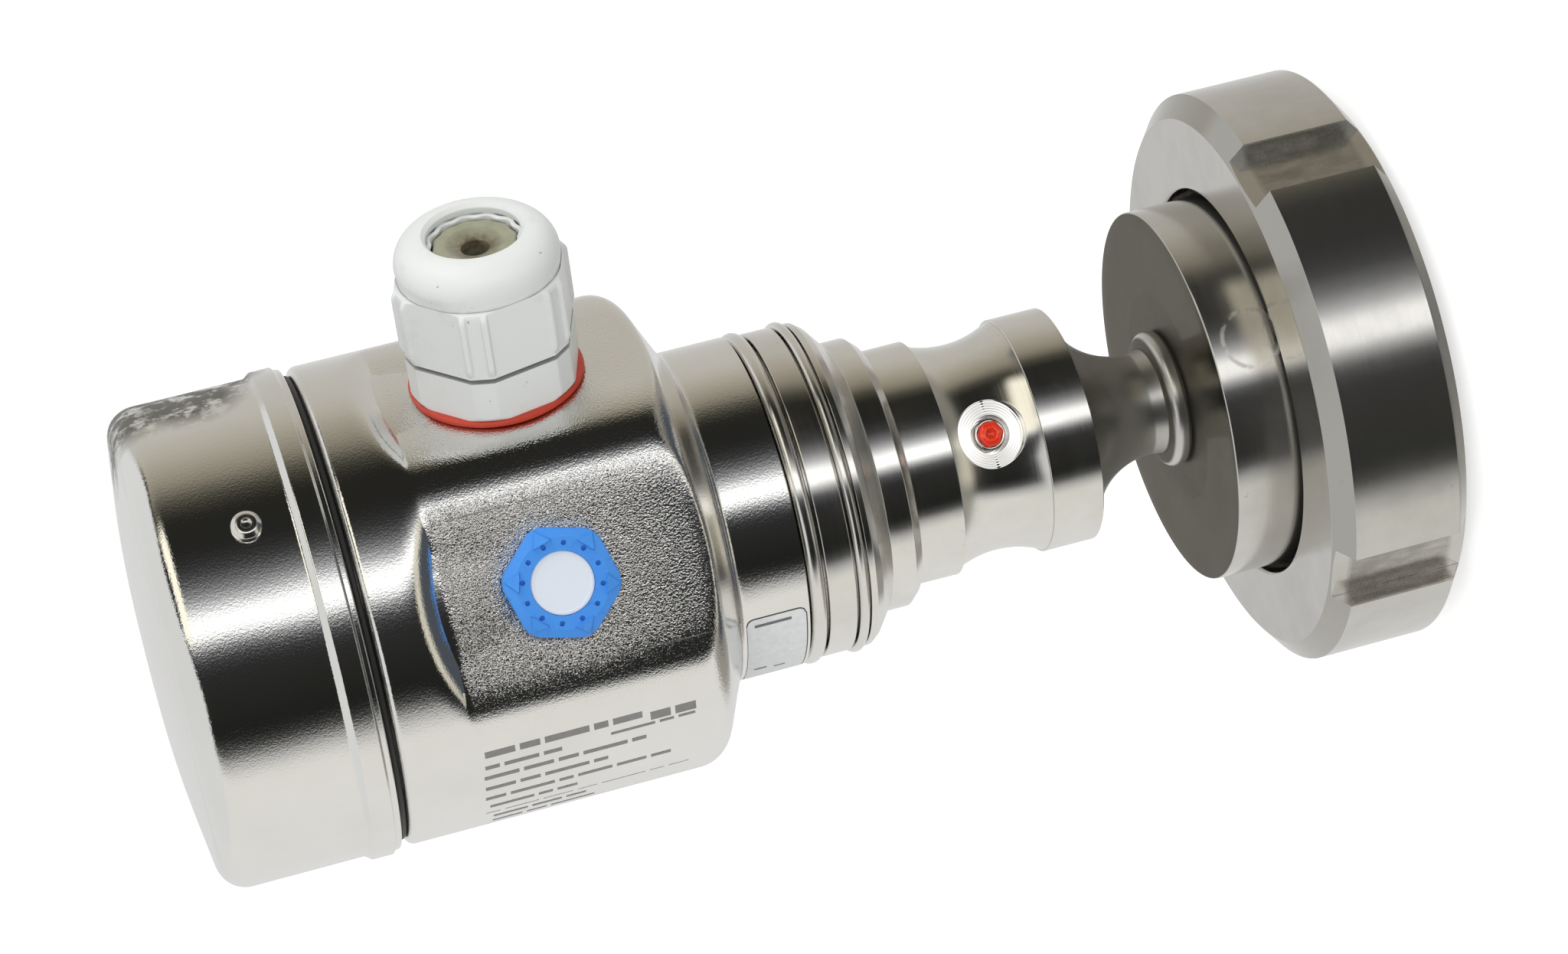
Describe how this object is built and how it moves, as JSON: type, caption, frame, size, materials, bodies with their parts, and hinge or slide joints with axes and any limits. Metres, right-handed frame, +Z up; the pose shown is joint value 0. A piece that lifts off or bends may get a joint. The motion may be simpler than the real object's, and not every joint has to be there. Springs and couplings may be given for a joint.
{
  "type": "pressure transmitter",
  "caption": "Hygienic pressure transmitter with a stainless screw-cover housing, cable gland, vent, waisted sensor body and slotted union nut.",
  "frame": {"origin": "centre of the wetted process face, where the instrument seats on the vessel's union", "axes": "+Z up the common axis from the process face to the cover, +X out along the cable gland; the vent's flat faces 60 degrees from the gland, towards -Y"},
  "size_m": [0.1064, 0.092, 0.1981],
  "materials": {
    "drawn_steel": "electropolished drawn stainless steel, light scratches",
    "turned_steel": "turned stainless steel with fine circular tool marks",
    "spring_steel": "spring steel",
    "thin_steel": "thin stainless membrane",
    "plated_brass": "gold-coloured contact pins and screws",
    "grey_plastic": "light grey polyamide, slightly dirty",
    "white_plastic": "white porous membrane",
    "blue_plastic": "bright blue plastic",
    "black_plastic": "black plastic",
    "green_plastic": "green terminal plastic",
    "insert_rubber": "soft grey-green seal",
    "red_rubber": "orange-red flat seal",
    "dark_rubber": "dark seal rubber",
    "red_lacquer": "glossy red sealing lacquer",
    "lead_sleeve": "insulated leads"
  },
  "bodies": {
    "sensor": {"seal_flange": "turned_steel", "process_diaphragm": "thin_steel", "seal_stem": "turned_steel", "sensor_body": "turned_steel", "fill_screw": "turned_steel", "fill_seal": "red_lacquer", "neck_adapter": "turned_steel", "neck_ring_lower": "turned_steel", "neck_ring_upper": "turned_steel", "neck_seal": "dark_rubber", "retaining_ring": "spring_steel", "sensor_cell": "turned_steel", "cell_header": "plated_brass", "cell_ring": "turned_steel", "sensor_leads": "lead_sleeve"},
    "nut": {"union_nut": "turned_steel"},
    "housing": {"housing_pot": "drawn_steel", "thread_ring": "turned_steel", "cover_seal": "dark_rubber", "gland_ring": "red_rubber", "gland_body": "grey_plastic", "gland_insert": "insert_rubber", "gland_locknut": "grey_plastic", "vent_cap": "blue_plastic", "vent_membrane": "white_plastic", "vent_seal": "dark_rubber", "vent_nut": "black_plastic", "electronics_module": "black_plastic", "module_socket": "white_plastic", "module_screws": "spring_steel", "terminal_block": "green_plastic", "terminal_screws": "spring_steel", "key_bezel": "grey_plastic", "dip_block": "blue_plastic", "ground_terminal": "spring_steel"},
    "cap": {"cover": "drawn_steel", "cover_pin": "turned_steel"},
    "clamping_nut": {"gland_nut": "grey_plastic"},
    "zero_button": {"zero_key": "white_plastic"},
    "span_button": {"span_key": "white_plastic"},
    "lock_switch": {"dip_slider_lock": "white_plastic"},
    "damping_switch": {"dip_slider_damping": "white_plastic"}
  },
  "joints": [
    {"name": "nut_spin", "type": "hinge", "parent": "sensor", "child": "nut", "pos_m": [0, 0, 0.011], "axis": [0, 0, 1], "continuous": true},
    {"name": "housing_swivel", "type": "hinge", "parent": "sensor", "child": "housing", "pos_m": [0, 0, 0.11], "axis": [0, 0, 1], "range_deg": [-190, 190]},
    {"name": "cover_lift", "type": "slide", "parent": "housing", "child": "cap", "axis": [0, 0, 1], "range_m": [0, 0.03]},
    {"name": "gland_nut_turn", "type": "hinge", "parent": "housing", "child": "clamping_nut", "pos_m": [0.05, 0, 0.1388], "axis": [1, 0, 0], "range_deg": [0, 360]},
    {"name": "zero_key_press", "type": "slide", "parent": "housing", "child": "zero_button", "axis": [0, 0, -1], "range_m": [0, 0.0008], "stiffness_N_per_m": 300, "springref_m": -0.001},
    {"name": "span_key_press", "type": "slide", "parent": "housing", "child": "span_button", "axis": [0, 0, -1], "range_m": [0, 0.0008], "stiffness_N_per_m": 300, "springref_m": -0.001},
    {"name": "lock_switch_slide", "type": "slide", "parent": "housing", "child": "lock_switch", "axis": [0, -1, 0], "range_m": [0, 0.0016]},
    {"name": "damping_switch_slide", "type": "slide", "parent": "housing", "child": "damping_switch", "axis": [0, -1, 0], "range_m": [0, 0.0016]}
  ]
}
